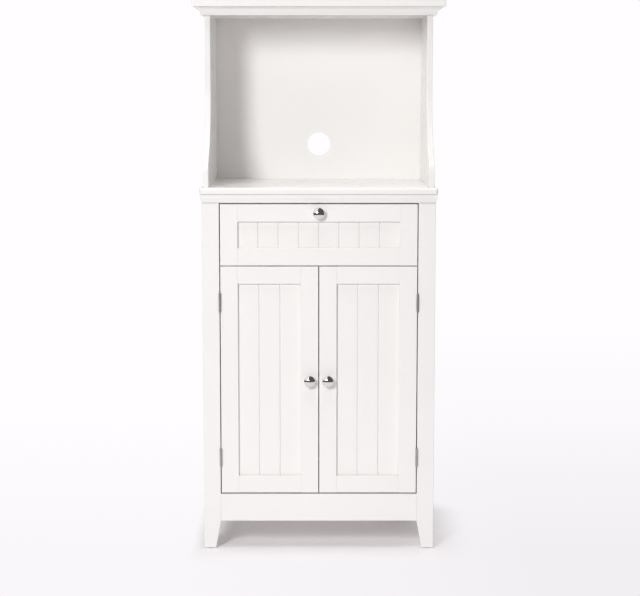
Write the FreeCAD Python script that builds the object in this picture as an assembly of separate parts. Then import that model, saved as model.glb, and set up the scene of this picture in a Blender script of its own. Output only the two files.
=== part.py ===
"""Microwave stand: a painted cabinet on tapered legs, with a drawer over two doors and a hutch on top.

Frame: X to the right, Y to the back, Z up, in millimetres. The origin is on the floor, under the middle
of the box that holds the whole stand with its doors and drawer shut. Left and right are as seen from the
front. Pieces that come in pairs are modelled on the right and mirrored.
"""
import FreeCAD, Part
import math
import os

V = FreeCAD.Vector
X_AXIS = V(1, 0, 0)
Y_AXIS = V(0, 1, 0)
Z_AXIS = V(0, 0, 1)
AXIS_SLACK = 0.001             # an edge runs along an axis if the cosine between them is this near to 1

# ---- Overall sizes ----
total_height = 1524.0          # floor to the top of the crown
body_width = 640.0             # over the posts
body_depth = 430.0             # front of the posts to the back of the cabinet
counter_height = 1010.0        # floor to the counter's surface

# ---- Boards ----
carcass_board = 16.0           # side panels, cupboard floor, shelf and drawer divider
back_board = 6.0               # backs of the cabinet and the hutch
front_board = 20.0             # doors, drawer front and apron
board_round = 0.8              # eased edges of the boards

# ---- Posts and feet ----
post_size = 47.0               # square
foot_size = 33.0               # square, where a tapered leg meets its glide
post_round = 1.5
leg_clearance = 79.5           # floor to the apron; the legs' inner faces taper below it
glide_height = 3.0
glide_radius = 11.0
nail_radius = 1.5
nail_length = 14.0
side_panel_inset = 6.0         # side panels behind the posts' outer faces

# ---- Fronts: heights, gaps and framing ----
front_gap = 2.5                # round the drawer front, and beside and over the doors
drawer_front_height = 168.5
apron_height = 76.7
door_foot_gap = 3.8            # between the doors and the apron
frame_member = 48.0            # stiles and rails
panel_thickness = 7.5
panel_recess = 9.0             # a panel's face behind its frame's face
panel_groove = 8.0             # how far the panels and the tenons go into the frames
panel_play = 0.15              # each side of a panel in its groove
bead_width = 3.4               # V-grooves between the planks
bead_depth = 2.2
door_planks = 3
drawer_planks = 8
stop_gap = 0.5                 # between a shut front and the divider's edge behind it

# ---- Counter ----
slab_thickness = 25.5
slab_overhang = 5.5
nosing_height = 17.4           # counter's surface to the groove under its nosing
nosing_round = 7.0
quirk_height = 2.2             # the groove
quirk_depth = 3.5
slab_lip_setback = 1.0         # square lip under the groove, behind the nosing
top_rail_thickness = 17.0
reveal_height = 1.6            # shadow gap between the top rails' edge and the posts
reveal_depth = 3.0
rail_cove_foot = 1.0           # overhang of the top rails' moulded edge at its bottom
rail_cove_run = 3.5            # and how far it spreads by its lip
rail_lip = 3.0                 # square edge above the cove

# ---- Hutch ----
hutch_inset = 4.0              # each side in from the posts' outer faces
hutch_board = 15.0
hutch_round = 1.5
hutch_setback = 130.0          # upper front edge behind the posts' faces
foot_setback = 2.0             # front edge of the sides at the counter
foot_rise = 44.0               # straight edge above the counter
curve_rise = 216.0             # height of the curved edge
curve_toe_radius = 36.0
cable_hole_radius = 34.0
cable_hole_rise = 103.5        # above the counter

# ---- Crown ----
crown_thickness = 22.0
crown_overhang = 34.0
crown_round = 2.0
crown_cove_foot = 11.0         # overhang of the moulding at its bottom edge
crown_cove_run = 13.0          # how far it spreads
crown_cove_rise = 22.5         # over this height

# ---- Cupboard ----
shelf_height = 465.0           # underside of the shelf
shelf_play = 1.5               # at each end of the shelf
shelf_post_gap = 2.0           # between the shelf and the posts
pin_radius = 2.5
pin_depth = 8.0                # in the side panel
pin_hole_depth = 9.0
pin_tab_length = 12.0
pin_tab_width = 10.0
pin_from_shelf_edge = 40.0
pin_hole_pitch = 32.0
pin_hole_spare = 1             # spare holes above and below the one in use
fixing_play = 0.05             # radial play of screws, nails and studs in their holes

# ---- Hinges ----
hinge_length = 50.0
hinge_from_end = 100.0         # door's end to the hinge's middle
hinge_leaf_depth = 18.0        # from the pin's axis
hinge_play = 0.1               # between the shut leaves
barrel_radius = 3.2
barrel_standoff = 0.3          # barrel in front of the fronts' faces
hinge_pin_radius = 1.5
pin_cap_radius = 2.4
pin_cap_height = 1.0
knuckle_count = 5
knuckle_gap = 0.2
running_play = 0.05            # radial play of pins and rollers

# ---- Screws: one countersunk size for the hinges and the drawer slides ----
screw_shank_radius = 1.75
screw_head_radius = 2.95
screw_length = 16.0
screw_point = 3.0
recess_width = 0.8             # cross recess in the head
recess_span = 3.4
recess_depth = 0.9
hinge_screw_spread = 15.0      # each side of the hinge's middle
hinge_screw_setback = 8.0      # behind the fronts' faces

# ---- Knobs ----
knob_radius = 16.0
knob_projection = 27.0
knob_rim_height = 19.0         # widest part, from the front's face
knob_rim_thickness = 2.0
knob_rim_round = 0.8
knob_belly = 1.6               # how far the underside bulges
knob_rosette_radius = 9.5
knob_rosette_height = 2.5
knob_neck_radius = 5.5
knob_neck_height = 9.0
knob_stud_radius = 2.0
knob_stud_length = 15.0

# ---- Drawer box ----
box_side = 12.0
box_height = 110.0
box_lift = 14.0                # sides' lower edges above the divider
box_bottom_thickness = 4.0
box_bottom_rise = 8.0          # bottom above the sides' lower edges
box_groove = 6.0
box_groove_play = 0.1
box_back_drop = 10.0           # back lower than the sides

# ---- Drawer slides ----
slide_clearance = 12.7         # between a post and the drawer's side
slide_steel = 1.2
slide_setback = 2.0            # slides behind the drawer front
channel_back_gap = 2.0         # between the channel's rear end and the cabinet's back
channel_depth = 10.2           # from the post to the flanges' edges
channel_air = 0.95             # between the runner's lip and the upper flange
runner_back_gap = 12.0         # runner's rear end before the channel's
runner_lip_gap = 1.2           # between the lip's edge and the channel's web
roller_radius = 9.5
roller_width = 6.0
roller_gap = 0.6               # between a roller and the steel it is riveted to
roller_lift = 0.3              # channel roller above the lower flange
channel_roller_setback = 30.0  # behind the channel's front end
runner_roller_setback = 12.0   # before the runner's rear end
axle_radius = 2.5
axle_head_radius = 4.0
axle_head_thickness = 1.0
axle_head_gap = 0.2
channel_screw_front = 11.0     # behind the channel's front end
channel_screw_back = 7.0       # before its rear end
channel_screw_rise = 8.0       # above the lower flange
runner_screw_inset = 3.1       # from the drawer side's outer face
runner_screw_setback = 40.0    # from the runner's ends

# ---- Magnetic catches ----
catch_width = 38.0
catch_height = 14.0
catch_depth = 14.0
catch_from_middle = 24.0       # from the gap between the doors
catch_air = 0.2                # magnet's face to the strike plate
strike_width = 30.0
strike_height = 10.0
strike_thickness = 1.2

# ---- Planes of the cabinet ----
front_reach = max(knob_projection, slab_overhang, 2 * barrel_radius + barrel_standoff)
front_y = (front_reach - body_depth) / 2
back_y = front_y + body_depth
fronts_back = front_y + front_board
backs_front = back_y - back_board
half_width = body_width / 2
opening_half = half_width - post_size
panel_outer = half_width - side_panel_inset
panel_inner = panel_outer - carcass_board

# ---- Levels of the cabinet ----
slab_bottom = counter_height - slab_thickness
post_top = slab_bottom - top_rail_thickness
drawer_top = post_top - front_gap
drawer_bottom = drawer_top - drawer_front_height
door_top = drawer_bottom - front_gap
apron_top = leg_clearance + apron_height
door_bottom = apron_top + door_foot_gap
divider_bottom = drawer_bottom - (front_gap + carcass_board) / 2
divider_top = divider_bottom + carcass_board

# ---- Planes and levels of the hutch ----
hutch_half = half_width - hutch_inset
nook_half = hutch_half - hutch_board
hutch_front = front_y + hutch_setback
crown_bottom = total_height - crown_thickness
ceiling_height = crown_bottom - crown_cove_rise

# ---- Places of the hardware ----
leaf_thickness = (front_gap - hinge_play) / 2
hinge_x = opening_half - front_gap / 2
hinge_y = front_y - barrel_radius - barrel_standoff
hinge_heights = (door_bottom + hinge_from_end, door_top - hinge_from_end)
screw_head_height = screw_head_radius - screw_shank_radius
catch_front = fronts_back + strike_thickness + catch_air
shelf_front = front_y + post_size + shelf_post_gap
shelf_back = back_y - post_size - shelf_post_gap

# ---- Places of the drawer and its slides ----
side_outer = opening_half - slide_clearance
side_inner = side_outer - box_side
box_floor = divider_top + box_lift
channel_front = fronts_back + slide_setback
channel_back = backs_front - channel_back_gap
channel_web = opening_half - slide_steel
channel_floor = box_floor
runner_front = fronts_back + slide_setback
runner_back = channel_back - runner_back_gap
box_back = runner_back
runner_web = side_outer + slide_steel
channel_roller_y = channel_front + channel_roller_setback
channel_roller_z = channel_floor + roller_lift + roller_radius
runner_roller_y = runner_back - runner_roller_setback
runner_roller_z = channel_floor + running_play + roller_radius
lip_bottom = channel_roller_z + roller_radius + running_play
channel_ceiling = lip_bottom + slide_steel + channel_air


# ---- Shape helpers ----
def box(x, y, z):
    """Block between three pairs of limits, each low then high."""
    return Part.makeBox(x[1] - x[0], y[1] - y[0], z[1] - z[0], V(x[0], y[0], z[0]))


def polyline(points):
    """Straight edges from each point to the next."""
    return [Part.LineSegment(start, end).toShape() for start, end in zip(points, points[1:])]


def prism(points, direction):
    """Straight prism on a closed outline of points."""
    outline = Part.Wire(polyline(points + [points[0]]))
    return Part.Face(outline).extrude(direction)


def eased(shape, radius, axis):
    """The solid with the straight edges that run along an axis rounded over."""
    edges = [edge for edge in shape.Edges if edge.Curve.TypeId == "Part::GeomLine"
             and abs(edge.Curve.Direction.dot(axis)) > 1 - AXIS_SLACK]
    return shape.makeFillet(radius, edges)


def board(x, y, z, axis):
    """Board with the edges that run along one axis eased."""
    return eased(box(x, y, z), board_round, axis)


def nosed_board(x, y, z, radius):
    """Board with rounded edges at the front and the ends, and square ones at the back."""
    blank = box(x, y, z)
    edges = [edge for edge in blank.Edges if edge.BoundBox.YMin < (y[0] + y[1]) / 2]
    return blank.makeFillet(radius, edges)


def placed(shape, point, direction):
    """A solid modelled upwards from the origin, turned to a direction and moved to a point."""
    copy = shape.copy()
    copy.Placement = FreeCAD.Placement(point, FreeCAD.Rotation(Z_AXIS, direction))
    return copy


def mirrored(shape):
    """The same solid on the other side of the stand."""
    return shape.mirror(V(0, 0, 0), X_AXIS)


def hole(point, direction, radius, depth):
    """Round hole with play for the nail, stud or pin that goes in it."""
    return Part.makeCylinder(radius + fixing_play, depth, point, direction)


def cove_arc(at, foot, run, rise):
    """Hollow arc that starts upright at a foot and spreads outwards by a run over a rise."""
    radius = (run ** 2 + rise ** 2) / (2 * run)
    half_turn = math.asin(min(rise / radius, 1)) / 2
    middle = at(foot + radius * (1 - math.cos(half_turn)), radius * math.sin(half_turn))
    return Part.Arc(at(foot, 0), middle, at(foot + run, rise)).toShape()


def mitred_runs(section, overhang, half, front, depth, z):
    """Front and right runs of an edge moulding that meet in a mitre.

    The section is a function that draws its edges through at(out, up), distances from the corner line at
    x = half, y = front. It reaches out by the overhang and in by the depth.
    """
    reach = 2 * overhang

    def front_at(out, up):
        return V(-half - reach, front - out, z + up)

    def side_at(out, up):
        return V(half + out, front - reach, z + up)

    front_blank = Part.Face(Part.Wire(section(front_at))).extrude(X_AXIS * (2 * (half + reach)))
    side_blank = Part.Face(Part.Wire(section(side_at))).extrude(Y_AXIS * (back_y - front + reach))
    corner = V(half + reach, front - reach, 0)
    inner = V(half - depth, front + depth, 0)
    front_plan = [corner, inner, V(-inner.x, inner.y, 0), V(-corner.x, corner.y, 0)]
    side_plan = [corner, inner, V(inner.x, back_y, 0), V(corner.x, back_y, 0)]
    return (front_blank.common(prism(front_plan, Z_AXIS * total_height)),
            side_blank.common(prism(side_plan, Z_AXIS * total_height)))


def save(name, *solids):
    """Write one sub-part: a solid, or a group of separate solids."""
    shape = solids[0] if len(solids) == 1 else Part.makeCompound(list(solids))
    shape.exportStep(f"parts/{name}.step")


def save_both(name, *solids):
    """Write a sub-part of the right side and its mirror image on the left; the name holds {side}."""
    save(name.format(side="right"), *solids)
    save(name.format(side="left"), *[mirrored(solid) for solid in solids])


# ---- Screws ----
def screw_blank(play):
    """Countersunk screw without its recess: head's face at the origin, shank along +Z, grown by a play."""
    shank_length = screw_length - screw_head_height - screw_point
    shank_radius = screw_shank_radius + play
    head = Part.makeCone(screw_head_radius + play, shank_radius, screw_head_height)
    shank = Part.makeCylinder(shank_radius, shank_length, V(0, 0, screw_head_height))
    tip = Part.makeCone(shank_radius, play, screw_point + play, V(0, 0, screw_head_height + shank_length))
    return head.fuse([shank, tip])


def screw(point, direction):
    """Screw driven in at a point, its head flush there."""
    span = (-recess_span / 2, recess_span / 2)
    width = (-recess_width / 2, recess_width / 2)
    recess = [box(span, width, (0, recess_depth)), box(width, span, (0, recess_depth))]
    return placed(screw_blank(0).cut(recess), point, direction)


def screw_hole(point, direction):
    """Hole for that screw, through the metal and into the wood."""
    return placed(screw_blank(fixing_play), point, direction)


def frame_hinge_screws():
    """Points of the screws that hold the right frame leaves to the post."""
    x = opening_half - leaf_thickness
    y = front_y + hinge_screw_setback
    return [V(x, y, z + side * hinge_screw_spread) for z in hinge_heights for side in (-1, 1)]


def door_hinge_screws():
    """Points of the screws that hold the right door's leaves to its edge."""
    return [V(point.x - hinge_play, point.y, point.z) for point in frame_hinge_screws()]


def channel_screws():
    """Points of the screws that hold the right slide channel to the posts."""
    z = channel_floor + channel_screw_rise
    depths = (channel_front + channel_screw_front, channel_back - channel_screw_back)
    return [V(channel_web, y, z) for y in depths]


def runner_screws():
    """Points of the screws that hold the right slide runner up to the drawer's side."""
    x = side_outer - runner_screw_inset
    z = box_floor - slide_steel
    return [V(x, y, z) for y in (runner_front + runner_screw_setback, runner_back - runner_screw_setback)]


# ---- Cabinet ----
def post_outline(outer_y, inwards, size, z):
    """Square with rounded corners, on the outer corner of a right post, at a height."""
    x = (half_width - size + post_round, half_width - post_round)
    y = (outer_y + inwards * post_round, outer_y + inwards * (size - post_round))
    corners = [V(x[0], y[0], z), V(x[1], y[0], z), V(x[1], y[1], z), V(x[0], y[1], z), V(x[0], y[0], z)]
    return Part.Wire(polyline(corners)).makeOffset2D(post_round)


def post(outer_y, inwards):
    """Right post: square, its two inner faces tapered in towards the foot."""
    foot = post_outline(outer_y, inwards, foot_size, glide_height)
    knee = post_outline(outer_y, inwards, post_size, leg_clearance)
    leg = Part.makeLoft([foot, knee], True, True)
    solid = leg.fuse(Part.Face(knee).extrude(Z_AXIS * (post_top - leg_clearance)))
    nail = V(half_width - foot_size / 2, outer_y + inwards * foot_size / 2, glide_height)
    holes = [screw_hole(point, X_AXIS) for point in channel_screws() + frame_hinge_screws()]
    return solid.cut(holes + [hole(nail, Z_AXIS, nail_radius, nail_length)])


def foot_glide(outer_y, inwards):
    """Plastic glide under a right leg, with the nail that holds it."""
    centre = V(half_width - foot_size / 2, outer_y + inwards * foot_size / 2, 0)
    disc = Part.makeCylinder(glide_radius, glide_height, centre)
    floor_edges = [edge for edge in disc.Edges if edge.BoundBox.ZMax < glide_height / 2]
    nail = Part.makeCylinder(nail_radius, nail_length, centre + Z_AXIS * glide_height)
    return disc.makeFillet(glide_height / 3, floor_edges).fuse(nail)


def side_panel():
    """Right side panel between its posts, with the holes of the shelf pins."""
    panel = board((panel_inner, panel_outer), (front_y + post_size, back_y - post_size),
                  (leg_clearance, post_top), Y_AXIS)
    steps = range(-pin_hole_spare, pin_hole_spare + 1)
    return panel.cut([hole(point + Z_AXIS * (step * pin_hole_pitch), X_AXIS, pin_radius, pin_hole_depth)
                      for point in shelf_pin_points() for step in steps])


def notched_board(front, z):
    """Fixed board across the cabinet, notched round the four posts."""
    notches = [box(x, y, z)
               for x in ((-half_width, -opening_half), (opening_half, half_width))
               for y in ((front_y, front_y + post_size), (back_y - post_size, back_y))]
    return box((-panel_inner, panel_inner), (front, backs_front), z).cut(notches)


def shelf_pin_points():
    """Places of the right shelf pins, on the axis of their pegs at the side panel's inner face."""
    z = shelf_height - pin_radius
    depths = (shelf_front + pin_from_shelf_edge, shelf_back - pin_from_shelf_edge)
    return [V(panel_inner, y, z) for y in depths]


def shelf_pin(point):
    """Right shelf pin: a peg in the side panel with a flat tab under the shelf."""
    peg = Part.makeCylinder(pin_radius, pin_depth + pin_tab_length, point - X_AXIS * pin_tab_length, X_AXIS)
    tab = box((point.x - pin_tab_length, point.x),
              (point.y - pin_tab_width / 2, point.y + pin_tab_width / 2), (point.z, point.z + pin_radius))
    return peg.fuse(tab)


def magnetic_catch():
    """Right door's catch under the divider, facing the door's strike plate."""
    body = box((catch_from_middle, catch_from_middle + catch_width),
               (catch_front, catch_front + catch_depth), (divider_bottom - catch_height, divider_bottom))
    return eased(body, board_round, Y_AXIS)


def write_cabinet():
    """Posts, panels, boards, shelf and feet of the lower cabinet."""
    opening = (-opening_half, opening_half)
    corners = ((front_y, 1), (back_y, -1))
    save_both("front_post_{side}", post(*corners[0]))
    save_both("back_post_{side}", post(*corners[1]))
    save_both("side_panel_{side}", side_panel())
    save("front_apron", nosed_board(opening, (front_y, fronts_back), (leg_clearance, apron_top), board_round))
    save("bottom_panel", notched_board(fronts_back, (apron_top - carcass_board, apron_top)))
    save("drawer_divider", notched_board(fronts_back + stop_gap, (divider_bottom, divider_top)))
    save("cabinet_back", box(opening, (backs_front, back_y), (leg_clearance, post_top)))
    save("adjustable_shelf", board((shelf_play - panel_inner, panel_inner - shelf_play),
                                   (shelf_front, shelf_back),
                                   (shelf_height, shelf_height + carcass_board), X_AXIS))
    pins = [shelf_pin(point) for point in shelf_pin_points()]
    save("shelf_pins", *pins, *[mirrored(pin) for pin in pins])
    save("magnetic_catches", magnetic_catch(), mirrored(magnetic_catch()))
    glides = [foot_glide(*corner) for corner in corners]
    save("foot_glides", *glides, *[mirrored(glide) for glide in glides])


# ---- Counter ----
def top_rail_section(at):
    """Rail under the counter: its outer edge is a hollow moulding between a shadow gap and a square lip."""
    cove_rise = top_rail_thickness - rail_lip - reveal_height
    edge = rail_cove_foot + rail_cove_run

    def above_gap(out, up):
        return at(out, reveal_height + up)

    return [cove_arc(above_gap, rail_cove_foot, rail_cove_run, cove_rise)] + polyline(
        [above_gap(edge, cove_rise), at(edge, top_rail_thickness), at(-post_size, top_rail_thickness),
         at(-post_size, 0), at(-reveal_depth, 0), above_gap(-reveal_depth, 0),
         above_gap(rail_cove_foot, 0)])


def slab_layer(inset, z):
    """Square block of the counter between two levels, its front and its ends set in behind the nosing."""
    reach = half_width + slab_overhang - inset
    return box((-reach, reach), (front_y - slab_overhang + inset, back_y), z)


def counter_slab():
    """Counter board: a rounded nosing over a fine groove and a square lip, round its front and its ends."""
    nosing_bottom = counter_height - nosing_height
    lip_top = nosing_bottom - quirk_height
    reach = half_width + slab_overhang
    rounded = nosed_board((-reach, reach), (front_y - slab_overhang, back_y),
                          (nosing_bottom - nosing_round, counter_height), nosing_round)
    nosing = rounded.common(slab_layer(0, (nosing_bottom, counter_height)))
    layers = [slab_layer(quirk_depth, (lip_top, nosing_bottom)),
              slab_layer(slab_lip_setback, (slab_bottom, lip_top))]
    return nosing.fuse(layers).removeSplitter()


def write_counter():
    """Counter, and the rails that carry it on the posts."""
    overhang = rail_cove_foot + rail_cove_run
    front_rail, side_rail = mitred_runs(top_rail_section, overhang, half_width, front_y,
                                        post_size, post_top)
    back_rail = box((-opening_half, opening_half), (back_y - post_size, back_y), (post_top, slab_bottom))
    save("top_rails", front_rail, side_rail, mirrored(side_rail), back_rail)
    save("counter_top", counter_slab())


# ---- Hutch ----
def hutch_side():
    """Right side of the hutch: narrow above, curving forwards to a deep foot on the counter."""
    toe_y = front_y + foot_setback
    foot_top = counter_height + foot_rise
    curve_top = foot_top + curve_rise
    turn = 2 * math.atan((hutch_front - toe_y) / curve_rise)
    neck_radius = curve_rise / math.sin(turn) - curve_toe_radius

    def at(y, z):
        return V(nook_half, y, z)

    def toe(angle):
        return at(toe_y + curve_toe_radius * (1 - math.cos(angle)),
                  foot_top + curve_toe_radius * math.sin(angle))

    def neck(angle):
        return at(hutch_front - neck_radius * (1 - math.cos(angle)),
                  curve_top - neck_radius * math.sin(angle))

    edges = [Part.Arc(toe(0), toe(turn / 2), toe(turn)).toShape(),
             Part.Arc(toe(turn), neck(turn / 2), neck(0)).toShape()]
    edges += polyline([neck(0), at(hutch_front, crown_bottom), at(back_y, crown_bottom),
                       at(back_y, counter_height), at(toe_y, counter_height), toe(0)])
    side = Part.Face(Part.Wire(edges)).extrude(X_AXIS * hutch_board)
    front_edges = [edge for edge in side.Edges if edge.BoundBox.YMax < (hutch_front + back_y) / 2
                   and edge.BoundBox.ZLength > hutch_round]
    return side.makeFillet(hutch_round, front_edges)


def write_hutch():
    """Sides, back and ceiling of the hutch; the oven's cable goes through the hole in the back."""
    save_both("hutch_side_{side}", hutch_side())
    nook = (-nook_half, nook_half)
    centre = V(0, backs_front, counter_height + cable_hole_rise)
    back = box(nook, (backs_front, back_y), (counter_height, crown_bottom))
    save("hutch_back", back.cut(Part.makeCylinder(cable_hole_radius, back_board, centre, Y_AXIS)))
    save("hutch_ceiling", box(nook, (hutch_front, backs_front),
                              (ceiling_height, ceiling_height + hutch_board)))


# ---- Crown ----
def crown_section(at):
    """Crown moulding: a hollow edge over a flat foot."""
    return [cove_arc(at, crown_cove_foot, crown_cove_run, crown_cove_rise)] + polyline(
        [at(crown_cove_foot + crown_cove_run, crown_cove_rise), at(0, crown_cove_rise),
         at(0, 0), at(crown_cove_foot, 0)])


def write_crown():
    """Moulding round the top of the hutch, and the board that lies on it."""
    overhang = crown_cove_foot + crown_cove_run
    front_run, side_run = mitred_runs(crown_section, overhang, hutch_half, hutch_front,
                                      0, ceiling_height)
    save("crown_moulding", front_run, side_run, mirrored(side_run))
    x = (-hutch_half - crown_overhang, hutch_half + crown_overhang)
    save("crown_board", nosed_board(x, (hutch_front - crown_overhang, back_y), (crown_bottom, total_height),
                                    crown_round))


# ---- Framed fronts ----
def beaded_panel(sight_x, sight_z, planks):
    """Panel of a front, grooved upright so that it looks like narrow planks."""
    face = front_y + panel_recess
    back = face + panel_thickness
    low = sight_z[0] - panel_groove
    outline = [V(sight_x[0] - panel_groove, back, low), V(sight_x[0] - panel_groove, face, low)]
    for step in range(1, planks):
        middle = sight_x[0] + (sight_x[1] - sight_x[0]) * step / planks
        outline += [V(middle - bead_width / 2, face, low), V(middle, face + bead_depth, low),
                    V(middle + bead_width / 2, face, low)]
    outline += [V(sight_x[1] + panel_groove, face, low), V(sight_x[1] + panel_groove, back, low)]
    return prism(outline, Z_AXIS * (sight_z[1] + panel_groove - low))


def framed_front(x, z, planks):
    """Front between its limits: low-x stile, high-x stile, bottom rail, top rail and beaded panel."""
    y = (front_y, fronts_back)
    face = front_y + panel_recess
    slot_y = (face - panel_play, face + panel_thickness + panel_play)
    sight_x = (x[0] + frame_member, x[1] - frame_member)
    sight_z = (z[0] + frame_member, z[1] - frame_member)
    slot_x = (sight_x[0] - panel_groove, sight_x[1] + panel_groove)
    slot_z = (sight_z[0] - panel_groove, sight_z[1] + panel_groove)
    stiles = [board(span, y, z, Z_AXIS).cut(box(slot_x, slot_y, z))
              for span in ((x[0], sight_x[0]), (sight_x[1], x[1]))]
    slot = box(slot_x, slot_y, slot_z)
    rails = [board(sight_x, y, span, X_AXIS).fuse(box(slot_x, slot_y, span)).cut(slot)
             for span in ((z[0], sight_z[0]), (sight_z[1], z[1]))]
    return stiles + rails + [beaded_panel(sight_x, sight_z, planks)]


# ---- Knobs ----
def knob_stud(point):
    """Hole for the stud of a knob at a point on a front's face."""
    return hole(point, Y_AXIS, knob_stud_radius, knob_stud_length)


def knob(point):
    """Domed knob on a rosette, with the stud that holds it in the front."""
    dome_rise = knob_projection - knob_rim_height
    dome_radius = (knob_radius ** 2 + dome_rise ** 2) / (2 * dome_rise)
    dome_angle = math.asin(knob_radius / dome_radius) / 2
    dome_middle = V(dome_radius * math.sin(dome_angle), 0,
                    knob_projection - dome_radius * (1 - math.cos(dome_angle)))
    neck_top = V(knob_neck_radius, 0, knob_neck_height)
    rim_low = V(knob_radius, 0, knob_rim_height - knob_rim_thickness)
    rim_high = V(knob_radius, 0, knob_rim_height)
    slope = rim_low - neck_top
    belly = (neck_top + rim_low) * 0.5 + V(slope.z, 0, -slope.x).normalize() * knob_belly
    outline = [Part.Arc(neck_top, belly, rim_low).toShape(), Part.LineSegment(rim_low, rim_high).toShape(),
               Part.Arc(rim_high, dome_middle, V(0, 0, knob_projection)).toShape()]
    outline += polyline([V(0, 0, knob_projection), V(0, 0, -knob_stud_length),
                         V(knob_stud_radius, 0, -knob_stud_length), V(knob_stud_radius, 0, 0),
                         V(knob_rosette_radius, 0, 0), V(knob_rosette_radius, 0, knob_rosette_height),
                         V(knob_neck_radius, 0, knob_rosette_height), neck_top])
    solid = Part.Face(Part.Wire(Part.__sortEdges__(outline))).revolve(V(0, 0, 0), Z_AXIS, 360)
    rim_edges = [edge for edge in solid.Edges if edge.BoundBox.XLength > 2 * knob_radius - knob_rim_round
                 and edge.BoundBox.ZLength < knob_rim_round]
    return placed(solid.makeFillet(knob_rim_round, rim_edges), point, -Y_AXIS)


# ---- Doors ----
def hinge_leaf(x, first_knuckle, middle):
    """Hinge leaf between two x limits, with every second knuckle from the first one, at a height."""
    foot = middle - hinge_length / 2
    pitch = (hinge_length + knuckle_gap) / knuckle_count
    leaf = box(x, (hinge_y, hinge_y + hinge_leaf_depth), (foot, foot + hinge_length))
    for index in range(knuckle_count):
        low = foot + index * pitch
        if index % 2 == first_knuckle:
            knuckle = Part.makeCylinder(barrel_radius, pitch - knuckle_gap, V(hinge_x, hinge_y, low))
            leaf = leaf.fuse(knuckle)
        else:
            leaf = leaf.cut(box(x, (hinge_y, hinge_y + barrel_radius + barrel_standoff),
                                (low - knuckle_gap, low + pitch)))
    bore = Part.makeCylinder(hinge_pin_radius + running_play, hinge_length, V(hinge_x, hinge_y, foot))
    return leaf.cut(bore).removeSplitter()


def hinge_pin(middle):
    """Hinge pin with a cap at each end."""
    foot = V(hinge_x, hinge_y, middle - hinge_length / 2)
    pin = Part.makeCylinder(hinge_pin_radius, hinge_length, foot)
    caps = [Part.makeCylinder(pin_cap_radius, pin_cap_height, start)
            for start in (foot - Z_AXIS * pin_cap_height, foot + Z_AXIS * hinge_length)]
    return pin.fuse(caps)


def strike_plate():
    """Right door's strike plate, opposite its catch."""
    middle = catch_from_middle + catch_width / 2
    level = divider_bottom - catch_height / 2
    return box((middle - strike_width / 2, middle + strike_width / 2),
               (fronts_back, fronts_back + strike_thickness),
               (level - strike_height / 2, level + strike_height / 2))


def write_doors():
    """Both doors, and the halves of their hinges that stay on the posts."""
    x = (front_gap / 2, opening_half - front_gap)
    front = framed_front(x, (door_bottom, door_top), door_planks)
    knob_stile, hinge_stile, bottom_rail, top_rail, panel = front
    knob_point = V(x[0] + frame_member / 2, front_y, (door_bottom + door_top) / 2)
    holes = [screw_hole(point, -X_AXIS) for point in door_hinge_screws()]
    save_both("{side}_door_knob_stile", knob_stile.cut(knob_stud(knob_point)))
    save_both("{side}_door_hinge_stile", hinge_stile.cut(holes))
    save_both("{side}_door_bottom_rail", bottom_rail)
    save_both("{side}_door_top_rail", top_rail)
    save_both("{side}_door_panel", panel)
    save_both("{side}_door_knob", knob(knob_point))
    save_both("{side}_door_hinge_screws", *[screw(point, -X_AXIS) for point in door_hinge_screws()])
    save_both("{side}_door_strike_plate", strike_plate())

    door_x = (x[1], x[1] + leaf_thickness)
    frame_x = (opening_half - leaf_thickness, opening_half)
    save_both("{side}_door_hinge_leaves", *[hinge_leaf(door_x, 1, z).cut(holes) for z in hinge_heights])
    frame_holes = [screw_hole(point, X_AXIS) for point in frame_hinge_screws()]
    frame_leaves = [hinge_leaf(frame_x, 0, z).cut(frame_holes) for z in hinge_heights]
    pins = [hinge_pin(z) for z in hinge_heights]
    save("frame_hinge_leaves", *frame_leaves, *[mirrored(leaf) for leaf in frame_leaves])
    save("hinge_pins", *pins, *[mirrored(pin) for pin in pins])


# ---- Drawer ----
def drawer_bottom_board(play):
    """Bottom of the drawer box, grown up and down by a play for its groove."""
    z = box_floor + box_bottom_rise
    edge = side_inner + box_groove
    return box((-edge, edge), (fronts_back - box_groove, box_back),
               (z - play, z + box_bottom_thickness + play))


def write_drawer():
    """Drawer front, box, knob and runners."""
    edge = opening_half - front_gap
    front = framed_front((-edge, edge), (drawer_bottom, drawer_top), drawer_planks)
    left_stile, right_stile, bottom_rail, top_rail, panel = front
    groove = drawer_bottom_board(box_groove_play)
    knob_point = V(0, front_y, drawer_top - frame_member / 2)
    save("drawer_front_stile_left", left_stile.cut(groove))
    save("drawer_front_stile_right", right_stile.cut(groove))
    save("drawer_front_bottom_rail", bottom_rail.cut(groove))
    save("drawer_front_top_rail", top_rail.cut(knob_stud(knob_point)))
    save("drawer_front_panel", panel)
    save("drawer_knob", knob(knob_point))

    side = board((side_inner, side_outer), (fronts_back, box_back),
                 (box_floor, box_floor + box_height), Y_AXIS)
    runner_holes = [screw_hole(point, Z_AXIS) for point in runner_screws()]
    save_both("drawer_side_{side}", side.cut(runner_holes + [groove]))
    bottom_top = box_floor + box_bottom_rise + box_bottom_thickness
    save("drawer_back", board((-side_inner, side_inner), (box_back - box_side, box_back),
                              (bottom_top, box_floor + box_height - box_back_drop), X_AXIS))
    save("drawer_bottom", drawer_bottom_board(0))
    save_both("slide_runner_{side}", slide_runner().cut(runner_holes))
    screws = [screw(point, Z_AXIS) for point in runner_screws()]
    save("drawer_slide_screws", *screws, *[mirrored(piece) for piece in screws])


# ---- Drawer slides ----
def axle(point, direction):
    """Rivet that a roller turns on, standing out from a slide's web at a point."""
    length = roller_gap + roller_width + axle_head_gap
    stem = Part.makeCylinder(axle_radius, length, point, direction)
    head = Part.makeCylinder(axle_head_radius, axle_head_thickness, point + direction * length, direction)
    return stem.fuse(head)


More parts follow.
